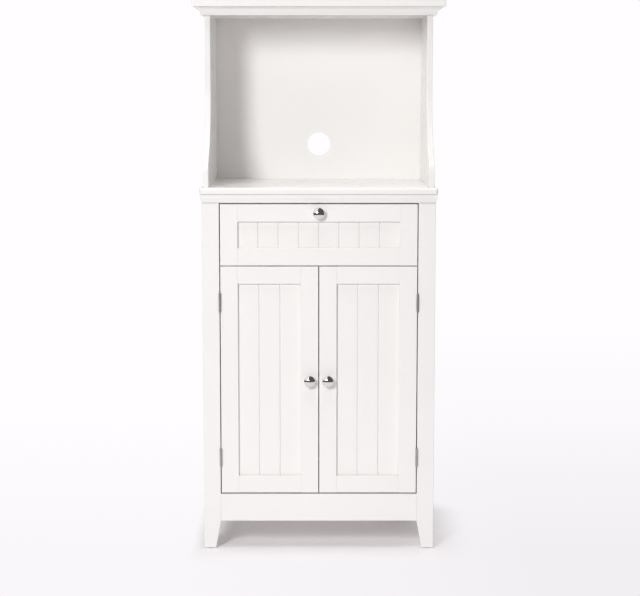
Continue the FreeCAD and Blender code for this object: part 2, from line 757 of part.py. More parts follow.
def roller(point, direction):
    """Roller on that rivet."""
    face = point + direction * roller_gap
    bore = Part.makeCylinder(axle_radius + running_play, roller_width, face, direction)
    return Part.makeCylinder(roller_radius, roller_width, face, direction).cut(bore)


def slide_channel():
    """Right channel on the posts: a C-section, open to the drawer, with a roller rivet near its front."""
    y = (channel_front, channel_back)
    flange_x = (opening_half - channel_depth, opening_half)
    web = box((channel_web, opening_half), y, (channel_floor - slide_steel, channel_ceiling + slide_steel))
    flanges = [box(flange_x, y, (channel_floor - slide_steel, channel_floor)),
               box(flange_x, y, (channel_ceiling, channel_ceiling + slide_steel))]
    return web.fuse(flanges + [axle(V(channel_web, channel_roller_y, channel_roller_z), -X_AXIS)])


def slide_runner():
    """Right runner on the drawer: a foot under the side, and a lip that rides on the channel's roller."""
    y = (runner_front, runner_back)
    web = box((side_outer, runner_web), y, (box_floor - slide_steel, lip_bottom + slide_steel))
    foot = box((side_inner, runner_web), y, (box_floor - slide_steel, box_floor))
    lip = box((side_outer, channel_web - runner_lip_gap), y, (lip_bottom, lip_bottom + slide_steel))
    return web.fuse([foot, lip, axle(V(runner_web, runner_roller_y, runner_roller_z), X_AXIS)])


def write_slides():
    """Channels, rollers and the screws of the hinges and channels."""
    holes = [screw_hole(point, X_AXIS) for point in channel_screws()]
    save_both("slide_channel_{side}", slide_channel().cut(holes))
    channel_roller = roller(V(channel_web, channel_roller_y, channel_roller_z), -X_AXIS)
    runner_roller = roller(V(runner_web, runner_roller_y, runner_roller_z), X_AXIS)
    save("channel_rollers", channel_roller, mirrored(channel_roller))
    save("runner_rollers", runner_roller, mirrored(runner_roller))
    screws = [screw(point, X_AXIS) for point in frame_hinge_screws() + channel_screws()]
    save("cabinet_screws", *screws, *[mirrored(piece) for piece in screws])


os.makedirs("parts", exist_ok=True)
write_cabinet()
write_counter()
write_hutch()
write_crown()
write_doors()
write_drawer()
write_slides()
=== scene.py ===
"""Looks of the microwave stand: its finishes, its small fittings and a plain studio, round the fixed frame.

Metres, with X to the right, Y to the back and Z up, as in the frame. Each sub-assembly is a class that
dresses its own nodes and builds its own pieces; each finish is a small frozen class; the studio is last.
"""

import logging
import math
from dataclasses import dataclass
from enum import Enum
from typing import Iterable

import bmesh
import bpy
from mathutils import Matrix, Vector


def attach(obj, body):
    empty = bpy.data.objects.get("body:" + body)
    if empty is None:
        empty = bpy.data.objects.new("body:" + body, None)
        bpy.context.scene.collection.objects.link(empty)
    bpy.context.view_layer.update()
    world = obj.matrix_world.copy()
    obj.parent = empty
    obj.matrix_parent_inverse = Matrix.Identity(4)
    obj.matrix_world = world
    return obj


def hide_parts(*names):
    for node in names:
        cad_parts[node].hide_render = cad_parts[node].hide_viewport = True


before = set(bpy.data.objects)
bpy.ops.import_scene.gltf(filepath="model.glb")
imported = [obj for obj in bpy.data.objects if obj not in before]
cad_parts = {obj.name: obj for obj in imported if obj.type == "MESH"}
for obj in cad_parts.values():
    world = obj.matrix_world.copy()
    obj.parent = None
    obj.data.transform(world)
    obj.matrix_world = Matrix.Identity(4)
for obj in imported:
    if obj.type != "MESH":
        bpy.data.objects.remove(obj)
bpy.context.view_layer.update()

LOG = logging.getLogger("microwave_stand")
MM = 0.001
WELD = 0.001 * MM              # vertices nearer than this become one
MIXED_COLOUR = 2               # output of a Mix node that holds the mixed colour
Colour = tuple[float, float, float, float]
Point = tuple[float, float, float]
Span = tuple[float, float]


class Body(Enum):
    """Bodies of the frame that pieces ride on."""

    DRAWER = "drawer"
    LEFT_DOOR = "left_door"
    RIGHT_DOOR = "right_door"


# ---- Colour and node helpers ----
def linear(hex_code: str) -> Colour:
    """Turns an sRGB hex colour to linear light.

    Args:
        hex_code: Six hex digits.

    Returns:
        Red, green, blue and an alpha of 1, in linear light.
    """
    parts = [int(hex_code[i:i + 2], 16) / 255 for i in (0, 2, 4)]
    red, green, blue = [p / 12.92 if p <= 0.04045 else ((p + 0.055) / 1.055) ** 2.4 for p in parts]
    return red, green, blue, 1.0


def add_node(tree: bpy.types.NodeTree, kind: str, settings: dict[str, object] | None = None,
             **inputs: object) -> bpy.types.Node:
    """Adds a shader node, sets its properties and sockets, and links what feeds it.

    Args:
        tree: The node tree that the node goes in.
        kind: Blender's type name of the node.
        settings: Properties of the node itself, by name.
        **inputs: Sockets by identifier or name, in lower case with underscores. Each takes a value or an
            output to link.

    Returns:
        The new node.
    """
    node = tree.nodes.new(kind)
    for name, value in (settings or {}).items():
        setattr(node, name, value)
    for name, value in inputs.items():
        sockets = [s for s in node.inputs
                   if name in (s.identifier.lower().replace(" ", "_"), s.name.lower().replace(" ", "_"))]
        socket = next((s for s in sockets if s.enabled), sockets[0])
        if isinstance(value, bpy.types.NodeSocket):
            tree.links.new(value, socket)
        else:
            socket.default_value = value
    return node


def per_mm(size: float) -> float:
    """Texture scale at which one feature of a pattern is this many millimetres across."""
    return 1 / (size * MM)


# ---- Finishes ----
@dataclass(frozen=True)
class Finish:
    """What all finishes share: a colour between two shades, an uneven gloss and a fine relief.

    Patches, ripples and their heights are in millimetres of the real surface. The spans are the parts of a
    pattern's range, from 0 to 1, that are stretched between the two shades or gloss values.
    """

    name: str
    colour: str
    second_colour: str
    roughness: Span
    colour_patch: float = 160.0
    colour_span: Span = (0.35, 0.65)
    gloss_patch: float = 22.0
    gloss_span: Span = (0.3, 0.7)
    ripple: float = 3.5
    ripple_height: float = 0.003
    metallic: float = 0.0
    ior: float = 1.5
    grain: Point = (1.0, 1.0, 1.0)

    def build(self) -> bpy.types.Material:
        """Builds the material.

        Returns:
            A new material with the finish's nodes.
        """
        material = bpy.data.materials.new(self.name)
        material.use_nodes = True
        tree = material.node_tree
        tree.nodes.clear()
        coordinates = add_node(tree, "ShaderNodeTexCoord")
        place = add_node(tree, "ShaderNodeMapping", vector=coordinates.outputs["Object"], scale=self.grain)
        at = place.outputs["Vector"]
        shader = add_node(tree, "ShaderNodeBsdfPrincipled", base_color=self.paint(tree, at),
                          roughness=self.gloss(tree, at), metallic=self.metallic, ior=self.ior,
                          normal=self.bump(tree, self.relief(tree, at)))
        add_node(tree, "ShaderNodeOutputMaterial", surface=shader.outputs["BSDF"])
        return material

    def paint(self, tree: bpy.types.NodeTree, at: bpy.types.NodeSocket) -> bpy.types.NodeSocket:
        """Colour that drifts slowly between the finish's two shades."""
        cloud = add_node(tree, "ShaderNodeTexNoise", vector=at, scale=per_mm(self.colour_patch), detail=3.0)
        spread = add_node(tree, "ShaderNodeMapRange", value=cloud.outputs["Fac"],
                          from_min=self.colour_span[0], from_max=self.colour_span[1])
        mix = add_node(tree, "ShaderNodeMix", {"data_type": "RGBA"}, factor_float=spread.outputs["Result"],
                       a_color=linear(self.colour), b_color=linear(self.second_colour))
        return mix.outputs[MIXED_COLOUR]

    def gloss(self, tree: bpy.types.NodeTree, at: bpy.types.NodeSocket) -> bpy.types.NodeSocket:
        """Roughness that wanders between the finish's two values."""
        cloud = add_node(tree, "ShaderNodeTexNoise", vector=at, scale=per_mm(self.gloss_patch), detail=4.0)
        spread = add_node(tree, "ShaderNodeMapRange", value=cloud.outputs["Fac"],
                          from_min=self.gloss_span[0], from_max=self.gloss_span[1],
                          to_min=self.roughness[0], to_max=self.roughness[1])
        return spread.outputs["Result"]

    def relief(self, tree: bpy.types.NodeTree, at: bpy.types.NodeSocket) -> bpy.types.NodeSocket:
        """Height of the finish's ripples, from 0 to 1."""
        cloud = add_node(tree, "ShaderNodeTexNoise", vector=at, scale=per_mm(self.ripple), detail=2.0)
        return cloud.outputs["Fac"]

    def bump(self, tree: bpy.types.NodeTree, height: bpy.types.NodeSocket) -> bpy.types.NodeSocket:
        """Normal of the surface with its ripples at their real height."""
        node = add_node(tree, "ShaderNodeBump", strength=1.0, distance=self.ripple_height * MM, height=height)
        return node.outputs["Normal"]


@dataclass(frozen=True)
class SprayedLacquer(Finish):
    """White satin lacquer sprayed on smooth board and rubbed down between coats."""

    wave: float = 36.0
    wave_share: float = 0.25
    # Reach, span and strength of the painted shade in grooves and corners.
    groove_reach: float = 4.0
    groove_span: Span = (0.3, 0.95)
    painted_groove_shade: float = 0.14

    def paint(self, tree: bpy.types.NodeTree, at: bpy.types.NodeSocket) -> bpy.types.NodeSocket:
        """White with a painted shade: it greys a little down in grooves and corners, as far as ambient
        occlusion finds them closed in.
        """
        # Painted shade: ambient occlusion darkens the colour in grooves and corners, by up to the groove
        # shade.
        open_share = add_node(tree, "ShaderNodeAmbientOcclusion", {"samples": 8},
                              distance=self.groove_reach * MM)
        level = add_node(tree, "ShaderNodeMapRange", value=open_share.outputs["AO"],
                         from_min=self.groove_span[0], from_max=self.groove_span[1],
                         to_min=1.0 - self.painted_groove_shade, to_max=1.0)
        shaded_colour = add_node(tree, "ShaderNodeVectorMath", {"operation": "SCALE"},
                          vector=super().paint(tree, at), scale=level.outputs["Result"])
        return shaded_colour.outputs["Vector"]

    def relief(self, tree: bpy.types.NodeTree, at: bpy.types.NodeSocket) -> bpy.types.NodeSocket:
        """Orange peel with a slower wave of the board under it."""
        peel = super().relief(tree, at)
        wave = add_node(tree, "ShaderNodeTexNoise", vector=at, scale=per_mm(self.wave), detail=1.0)
        total = add_node(tree, "ShaderNodeMath", {"operation": "MULTIPLY_ADD"}, value=wave.outputs["Fac"],
                         value_001=self.wave_share, value_002=peel)
        return total.outputs["Value"]


@dataclass(frozen=True)
class RolledPaint(Finish):
    """Thinner white paint rolled on hardboard, which keeps the stipple of the roller."""

    stipple: float = 2.2
    softness: float = 0.6

    def relief(self, tree: bpy.types.NodeTree, at: bpy.types.NodeSocket) -> bpy.types.NodeSocket:
        """Small round craters of the roller's nap."""
        cells = add_node(tree, "ShaderNodeTexVoronoi", {"feature": "SMOOTH_F1"}, vector=at,
                         scale=per_mm(self.stipple), smoothness=self.softness)
        return cells.outputs["Distance"]


@dataclass(frozen=True)
class PrintedFoil(Finish):
    """Off-white paper foil glued on chipboard, with a faint straight grain along the drawer."""

    fibre: float = 1.2
    fibre_grain: Point = (1.0, 0.04, 1.0)
    fibre_wander: float = 0.4

    def paint(self, tree: bpy.types.NodeTree, at: bpy.types.NodeSocket) -> bpy.types.NodeSocket:
        """Fine parallel fibres between the two shades."""
        along = add_node(tree, "ShaderNodeMapping", vector=at, scale=self.fibre_grain)
        cloud = add_node(tree, "ShaderNodeTexNoise", vector=along.outputs["Vector"],
                         scale=per_mm(self.fibre), detail=3.0, distortion=self.fibre_wander)
        mix = add_node(tree, "ShaderNodeMix", {"data_type": "RGBA"}, factor_float=cloud.outputs["Fac"],
                       a_color=linear(self.colour), b_color=linear(self.second_colour))
        return mix.outputs[MIXED_COLOUR]


@dataclass(frozen=True)
class PolishedPlate(Finish):
    """Bright chromium on buffed zinc: a mirror with hairlines left by the buffing wheel."""

    hairline: float = 0.5
    swirl: float = 6.0
    dull_span: Span = (0.45, 0.8)

    def gloss(self, tree: bpy.types.NodeTree, at: bpy.types.NodeSocket) -> bpy.types.NodeSocket:
        """Mirror gloss, a little duller along the hairlines."""
        lines = add_node(tree, "ShaderNodeTexNoise", vector=at, scale=per_mm(self.hairline), detail=2.0,
                         distortion=self.swirl)
        spread = add_node(tree, "ShaderNodeMapRange", value=lines.outputs["Fac"],
                          from_min=self.dull_span[0], from_max=self.dull_span[1],
                          to_min=self.roughness[0], to_max=self.roughness[1])
        return spread.outputs["Result"]


@dataclass(frozen=True)
class BrushedPlate(Finish):
    """Satin nickel on rolled steel, brushed upright before plating."""

    stroke: float = 0.35
    stroke_grain: Point = (1.0, 1.0, 0.03)

    def relief(self, tree: bpy.types.NodeTree, at: bpy.types.NodeSocket) -> bpy.types.NodeSocket:
        """Long fine strokes of the brush."""
        along = add_node(tree, "ShaderNodeMapping", vector=at, scale=self.stroke_grain)
        strokes = add_node(tree, "ShaderNodeTexNoise", vector=along.outputs["Vector"],
                           scale=per_mm(self.stroke), detail=2.0)
        return strokes.outputs["Fac"]


@dataclass(frozen=True)
class BakedEnamel(Finish):
    """White epoxy baked on folded steel: pebbled, because the powder melts in drops."""

    pebble: float = 1.1
    softness: float = 1.0

    def relief(self, tree: bpy.types.NodeTree, at: bpy.types.NodeSocket) -> bpy.types.NodeSocket:
        """Low rounded drops of powder."""
        cells = add_node(tree, "ShaderNodeTexVoronoi", {"feature": "SMOOTH_F1"}, vector=at,
                         scale=per_mm(self.pebble), smoothness=self.softness)
        return cells.outputs["Distance"]


# Satin lacquer reads as even warm white: its shades are too near to part by eye, the gloss wanders a little
# where the coat is thicker, and the orange peel only breaks up what mirrors in it at a glancing angle.
# Grooves and inner corners get a thin painted shade of grey from ambient occlusion.
SATIN_LACQUER = SprayedLacquer("sprayed_satin_lacquer", "F6F4F2", "F5F3F1", (0.18, 0.25))
# Rolled paint is flatter than the lacquer round it, so the backs look softer. Their white is a shade paler
# than the lacquer's.
BACK_PAINT = RolledPaint("rolled_paint_on_hardboard", "FCFAF8", "FAF8F6", (0.5, 0.6), ripple_height=0.012)
# Foil is a cooler, flatter white than the painted fronts, with fibres that show only from near by.
BOX_FOIL = PrintedFoil("printed_foil_on_chipboard", "EEECE9", "E6E3DF", (0.42, 0.52), ripple=0.8)
# Chrome has hardly any colour of its own: it is the room, bent round the knob.
CHROME = PolishedPlate("polished_chrome_plate", "E6E4E1", "E1DFDC", (0.03, 0.09), colour_patch=12.0,
                       metallic=1.0, ripple_height=0.0002)
# Satin nickel is a warm grey that blurs what it mirrors, along the strokes.
NICKEL = BrushedPlate("brushed_nickel_plate", "C2C0BC", "B6B4AF", (0.32, 0.44), colour_patch=12.0,
                      gloss_patch=4.0, ripple_height=0.0012, metallic=1.0)
# Enamel keeps small bright points of light on its pebbles.
ENAMEL = BakedEnamel("baked_epoxy_enamel", "E8E8E4", "E2E2DD", (0.24, 0.32), ripple_height=0.01)
# Nylon is waxy, a little yellow and slightly uneven where it filled the mould.
NYLON = Finish("moulded_nylon", "E4E3DC", "DCDBD1", (0.38, 0.5), colour_patch=20.0, ripple=0.9)
# Polythene glides are grey and dull, scuffed by the floor.
POLYTHENE = Finish("moulded_polythene", "BDBDBB", "B0B0AE", (0.45, 0.62), colour_patch=9.0, gloss_patch=3.0,
                   ripple=0.7)
# Catch housings have the even fine grit of a spark-eroded mould.
ABS = Finish("moulded_abs", "DEDEDA", "D9D9D4", (0.38, 0.48), ripple=0.5, ripple_height=0.006)
# Cast polyurethane bumpers are milky and soft to the eye, and shine where they aren't dusty.
POLYURETHANE = Finish("cast_polyurethane", "E9E8E3", "DFDED7", (0.2, 0.45), colour_patch=2.0, gloss_patch=1.5,
                      ripple=1.2, ripple_height=0.01)


class Palette:
    """Built finishes, each made once and shared by what wears it."""

    def __init__(self) -> None:
        """Starts with no finish built."""
        self._built: dict[str, bpy.types.Material] = {}

    def get(self, finish: Finish) -> bpy.types.Material:
        """Returns the finish's material, and builds it at its first use."""
        if finish.name not in self._built:
            self._built[finish.name] = finish.build()
        return self._built[finish.name]

    def dress(self, finish: Finish, nodes: Iterable[str]) -> None:
        """Gives nodes of the frame a finish.

        Args:
            finish: What they wear.
            nodes: Their names.
        """
        for name in nodes:
            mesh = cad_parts[name].data
            mesh.materials.clear()
            mesh.materials.append(self.get(finish))
            LOG.info("%s wears %s", name, finish.name)


def both(pattern: str) -> list[str]:
    """Names of a left and a right node from one pattern that holds {side}."""
    return [pattern.format(side=side) for side in ("left", "right")]


def finished(mesh: bmesh.types.BMesh, name: str) -> bpy.types.Object:
    """Turns a bmesh to an object in the scene.

    Args:
        mesh: The bmesh, in place; it is freed.
        name: The object's name.

    Returns:
        The new object, at the origin.
    """
    data = bpy.data.meshes.new(name)
    mesh.to_mesh(data)
    mesh.free()
    piece = bpy.data.objects.new(name, data)
    bpy.context.scene.collection.objects.link(piece)
    LOG.info("built %s, %d faces", name, len(data.polygons))
    return piece


def arc(centre: Span, radius: float, angles: Span, steps: int) -> list[Span]:
    """Points of a profile's arc.

    Args:
        centre: Its centre, distance from the axis and height.
        radius: Its radius.
        angles: First and last angle in degrees; 0 points away from the axis and 90 up.
        steps: How many edges it has.

    Returns:
        The points, from the first angle to the last.
    """
    turns = [math.radians(angles[0] + (angles[1] - angles[0]) * step / steps) for step in range(steps + 1)]
    return [(centre[0] + radius * math.cos(turn), centre[1] + radius * math.sin(turn)) for turn in turns]


def turned(profile: list[Span], around: int) -> bmesh.types.BMesh:
    """Turns a profile round the Z axis to a closed skin.

    Args:
        profile: Distances from the axis and heights; its ends lie on the axis.
        around: How many faces there are in one ring.

    Returns:
        The skin, smooth shaded, with its normals outwards.
    """
    mesh = bmesh.new()
    corners = [mesh.verts.new((reach, 0.0, height)) for reach, height in profile]
    edges = [mesh.edges.new(pair) for pair in zip(corners, corners[1:])]
    bmesh.ops.spin(mesh, geom=corners + edges, axis=(0, 0, 1), cent=(0, 0, 0), angle=math.tau, steps=around,
                   use_merge=True)
    bmesh.ops.remove_doubles(mesh, verts=mesh.verts, dist=WELD)
    bmesh.ops.recalc_face_normals(mesh, faces=mesh.faces)
    for face in mesh.faces:
        face.smooth = True
    return mesh


# ---- Fittings ----
@dataclass(frozen=True)
class Knob:
    """Domed knob on a rosette, turned in one piece. Lengths are in millimetres."""

    palette: Palette
    radius: float = 15.97
    projection: float = 26.97
    rim_height: float = 19.0
    rim_thickness: float = 2.0
    rim_round: float = 0.8
    belly: float = 1.6
    neck_radius: float = 5.5
    neck_height: float = 9.0
    neck_fillet: float = 1.2
    rosette_radius: float = 9.5
    rosette_height: float = 2.5
    rosette_round: float = 0.7
    rim_turn: Span = (20.0, -60.0)
    dome_steps: int = 16
    belly_steps: int = 8
    round_steps: int = 5
    around: int = 72

    def profile(self) -> list[Span]:
        """Outline of the knob from its top on the axis down to the front's face.

        Returns:
            Distances from the axis and heights over the face.
        """
        rise = self.projection - self.rim_height
        dome = (self.radius ** 2 + rise ** 2) / (2 * rise)
        edge = math.degrees(math.asin((self.radius - self.rim_round / 2) / dome))
        points = arc((0.0, self.projection - dome), dome, (90, 90 - edge), self.dome_steps)
        inner = self.radius - self.rim_round
        points += arc((inner, self.rim_height - self.rim_round / 2), self.rim_round, self.rim_turn,
                      self.round_steps)
        rim_low = (inner, self.rim_height - self.rim_thickness)
        neck_top = (self.neck_radius, self.neck_height)
        points += self.bowed(rim_low, neck_top)
        foot = self.rosette_height + self.neck_fillet
        points += arc((self.neck_radius + self.neck_fillet, foot), self.neck_fillet, (180, 270),
                      self.round_steps)
        points += arc((self.rosette_radius - self.rosette_round, self.rosette_height - self.rosette_round),
                      self.rosette_round, (90, 0), self.round_steps)
        return points + [(self.rosette_radius, 0.0), (0.0, 0.0)]

    def bowed(self, start: Span, end: Span) -> list[Span]:
        """Underside of the knob: a line between two points that bellies out.

        Args:
            start: Its first point.
            end: Its last point.

        Returns:
            The points.
        """
        across = Vector(end) - Vector(start)
        out = Vector((-across.y, across.x)).normalized()
        out = out if out.y < 0 else -out
        shares = [step / self.belly_steps for step in range(self.belly_steps + 1)]
        return [tuple(Vector(start) + across * share + out * (self.belly * math.sin(math.pi * share)))
                for share in shares]

    def build(self, node: str, body: Body, place: Point) -> None:
        """Builds the knob in the place of a node of the frame.

        Args:
            node: The node that it replaces.
            body: What it rides on.
            place: Middle of its rosette on the front's face, in millimetres.
        """
        mesh = turned([(reach * MM, height * MM) for reach, height in self.profile()], self.around)
        facing = Matrix.Translation(Vector(place) * MM) @ Matrix.Rotation(math.radians(90), 4, "X")
        bmesh.ops.transform(mesh, matrix=facing, verts=mesh.verts)
        piece = finished(mesh, f"{node}_turned")
        piece.data.materials.append(self.palette.get(CHROME))
        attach(piece, body.value)
        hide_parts(node)


@dataclass(frozen=True)
class Bumper:
    """Thin round bumper on the back of a front, where it shuts against the divider, in millimetres."""

    palette: Palette
    radius: float = 2.9
    thickness: float = 0.35
    edge_round: float = 0.15
    round_steps: int = 3
    around: int = 32

    def build(self, name: str, body: Body, place: Point) -> None:
        """Builds the bumper.

        Args:
            name: Its name.
            body: What it rides on.
            place: Its middle on the back of the front, in millimetres.
        """
        top = arc((self.radius - self.edge_round, self.thickness - self.edge_round), self.edge_round, (90, 0),
                  self.round_steps)
        profile = [(0.0, self.thickness)] + top + [(self.radius, 0.0), (0.0, 0.0)]
        mesh = turned([(reach * MM, height * MM) for reach, height in profile], self.around)
        facing = Matrix.Translation(Vector(place) * MM) @ Matrix.Rotation(math.radians(-90), 4, "X")
        bmesh.ops.transform(mesh, matrix=facing, verts=mesh.verts)
        piece = finished(mesh, name)
        piece.data.materials.append(self.palette.get(POLYURETHANE))
        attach(piece, body.value)


# ---- Sub-assemblies ----
@dataclass
class Cabinet:
    """Lower cabinet: posts, panels, boards, shelf, feet and the counter."""

    palette: Palette

    def dress(self) -> None:
        """Dresses the cabinet's nodes."""
        painted = both("front_post_{side}") + both("back_post_{side}") + both("side_panel_{side}")
        painted += ["front_apron", "bottom_panel", "drawer_divider", "adjustable_shelf", "top_rails",
                    "counter_top"]
        self.palette.dress(SATIN_LACQUER, painted)
        self.palette.dress(BACK_PAINT, ["cabinet_back"])
        self.palette.dress(POLYTHENE, ["foot_glides"])
        self.palette.dress(ABS, ["magnetic_catches"])
        self.palette.dress(NICKEL, ["shelf_pins", "hinge_pins", "frame_hinge_leaves", "cabinet_screws"])
        self.palette.dress(ENAMEL, both("slide_channel_{side}"))
        self.palette.dress(NYLON, ["channel_rollers"])


@dataclass
class Hutch:
    """Hutch on the counter, and its crown."""

    palette: Palette

    def dress(self) -> None:
        """Dresses the hutch's nodes."""
        self.palette.dress(SATIN_LACQUER, both("hutch_side_{side}")
                           + ["hutch_ceiling", "crown_board", "crown_moulding"])
        self.palette.dress(BACK_PAINT, ["hutch_back"])


@dataclass
class Door:
    """One door with its knob, its hinge leaves and its bumper. Lengths are in millimetres."""

    palette: Palette
    side: str
    knob_from_middle: float = 25.25
    knob_height: float = 477.0
    face: float = -201.5
    back: float = -181.5
    bumper_from_middle: float = 14.0
    bumper_height: float = 790.6

    def dress(self) -> None:
        """Dresses the door's nodes and adds its turned knob and its bumper."""
        door = f"{self.side}_door_"
        body = Body(f"{self.side}_door")
        way = 1 if body is Body.RIGHT_DOOR else -1
        self.palette.dress(SATIN_LACQUER, [door + n for n in ("knob_stile", "hinge_stile", "bottom_rail",
                                                              "top_rail", "panel")])
        self.palette.dress(CHROME, [door + "knob"])
        self.palette.dress(NICKEL, [door + n for n in ("hinge_leaves", "hinge_screws", "strike_plate")])
        Knob(self.palette).build(door + "knob", body,
                                 (way * self.knob_from_middle, self.face, self.knob_height))
        Bumper(self.palette).build(door + "bumper", body,
                                   (way * self.bumper_from_middle, self.back, self.bumper_height))


@dataclass
class Drawer:
    """Drawer: framed front, box, runners, knob and bumpers. Lengths are in millimetres."""

    palette: Palette
    knob_height: float = 941.0
    face: float = -201.5
    back: float = -181.5
    bumper_from_middle: float = 250.0
    bumper_height: float = 799.9

    def dress(self) -> None:
        """Dresses the drawer's nodes and adds its turned knob and its bumpers."""
        front = both("drawer_front_stile_{side}")
        front += [f"drawer_front_{n}" for n in ("bottom_rail", "top_rail", "panel")]
        self.palette.dress(SATIN_LACQUER, front)
        self.palette.dress(BOX_FOIL, both("drawer_side_{side}") + ["drawer_back", "drawer_bottom"])
        self.palette.dress(CHROME, ["drawer_knob"])
        self.palette.dress(ENAMEL, both("slide_runner_{side}"))
        self.palette.dress(NICKEL, ["drawer_slide_screws"])
        self.palette.dress(NYLON, ["runner_rollers"])
        Knob(self.palette).build("drawer_knob", Body.DRAWER, (0.0, self.face, self.knob_height))
        for way, side in ((-1, "left"), (1, "right")):
            Bumper(self.palette).build(f"drawer_bumper_{side}", Body.DRAWER,
                                       (way * self.bumper_from_middle, self.back, self.bumper_height))


# ---- Studio ----
@dataclass(frozen=True)
class SoftLight:
    """Round soft light that hangs in one place and faces another."""

    name: str
    place: Point
    aim: Point
    size: Span
    spread: float
    mirrored: bool
    power: float

    def hang(self) -> None:
        """Hangs the light in the scene."""
        lamp = bpy.data.lights.new(self.name, "AREA")
        lamp.shape = "ELLIPSE"
        lamp.size, lamp.size_y = self.size
        lamp.spread = math.radians(self.spread)
        lamp.energy = self.power
        holder = bpy.data.objects.new(self.name, lamp)
        holder.location = self.place
        holder.rotation_euler = (Vector(self.place) - Vector(self.aim)).to_track_quat("Z", "Y").to_euler()
        holder.visible_glossy = self.mirrored
        bpy.context.scene.collection.objects.link(holder)
        LOG.info("hung %s", self.name)


@dataclass(frozen=True)
class DarkScreen:
    """Curved dark screen round the stand, a painted reflection: a faint grey glow that only polished and
    glossy surfaces see.
    """

    name: str
    outline: tuple[Span, ...]
    bearings: Span
    shade: float
    steps: int = 24

    def stand(self) -> None:
        """Stands the screen in the studio; bearings are degrees from the front, to the right."""
        mesh = bmesh.new()
        corners = [mesh.verts.new((0.0, -reach, height)) for reach, height in self.outline]
        edges = [mesh.edges.new(pair) for pair in zip(corners, corners[1:])]
        start = Matrix.Rotation(math.radians(self.bearings[0]), 4, "Z")
        bmesh.ops.transform(mesh, matrix=start, verts=mesh.verts)
        bmesh.ops.spin(mesh, geom=corners + edges, axis=(0, 0, 1), cent=(0, 0, 0),
                       angle=math.radians(self.bearings[1] - self.bearings[0]), steps=self.steps)
        screen = finished(mesh, self.name)
        material = bpy.data.materials.new(self.name)
        material.use_nodes = True
        tree = material.node_tree
        tree.nodes.clear()
        # Painted reflection: a faint grey glow that only glossy rays see.
        painted_reflection_grey = add_node(tree, "ShaderNodeEmission", strength=self.shade)
        add_node(tree, "ShaderNodeOutputMaterial", surface=painted_reflection_grey.outputs["Emission"])
        screen.data.materials.append(material)
        for ray in ("camera", "diffuse", "transmission", "shadow", "volume_scatter"):
            setattr(screen, f"visible_{ray}", False)


